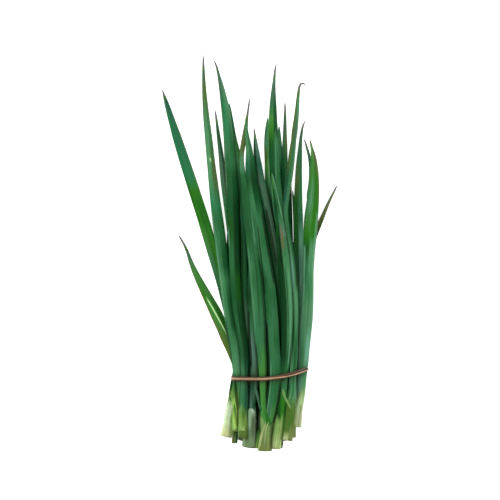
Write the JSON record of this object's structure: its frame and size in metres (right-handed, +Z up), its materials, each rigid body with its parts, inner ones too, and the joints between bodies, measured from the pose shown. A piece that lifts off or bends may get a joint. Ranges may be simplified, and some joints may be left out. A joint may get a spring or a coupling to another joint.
{
  "type": "chive bunch",
  "caption": "Bunch of large-leaved garlic chives lying flat: long green flat leaves on pale cut bases, tied with a rubber band near the cut ends.",
  "frame": {"origin": "on the surface that the bunch lies on, under the middle of its outline", "axes": "+Y from the cut ends to the leaf tips, +X across the bunch to its right seen from above with the tips up, +Z up from the surface"},
  "size_m": [0.1586, 0.3556, 0.0337],
  "materials": {
    "leaf": null,
    "rubber_band": "Natural tan-orange rubber, thin and matte, with slightly darker edges."
  },
  "bodies": {
    "root": {"shoot_01": "leaf", "shoot_02": "leaf", "shoot_03": "leaf", "shoot_04": "leaf", "shoot_05": "leaf", "shoot_06": "leaf", "shoot_07": "leaf", "shoot_08": "leaf", "shoot_09": "leaf", "shoot_10": "leaf", "shoot_11": "leaf", "shoot_12": "leaf", "shoot_13": "leaf", "shoot_14": "leaf", "shoot_15": "leaf", "shoot_16": "leaf", "loose_leaf_1": "leaf", "loose_leaf_2": "leaf", "rubber_band": "rubber_band"}
  },
  "joints": []
}
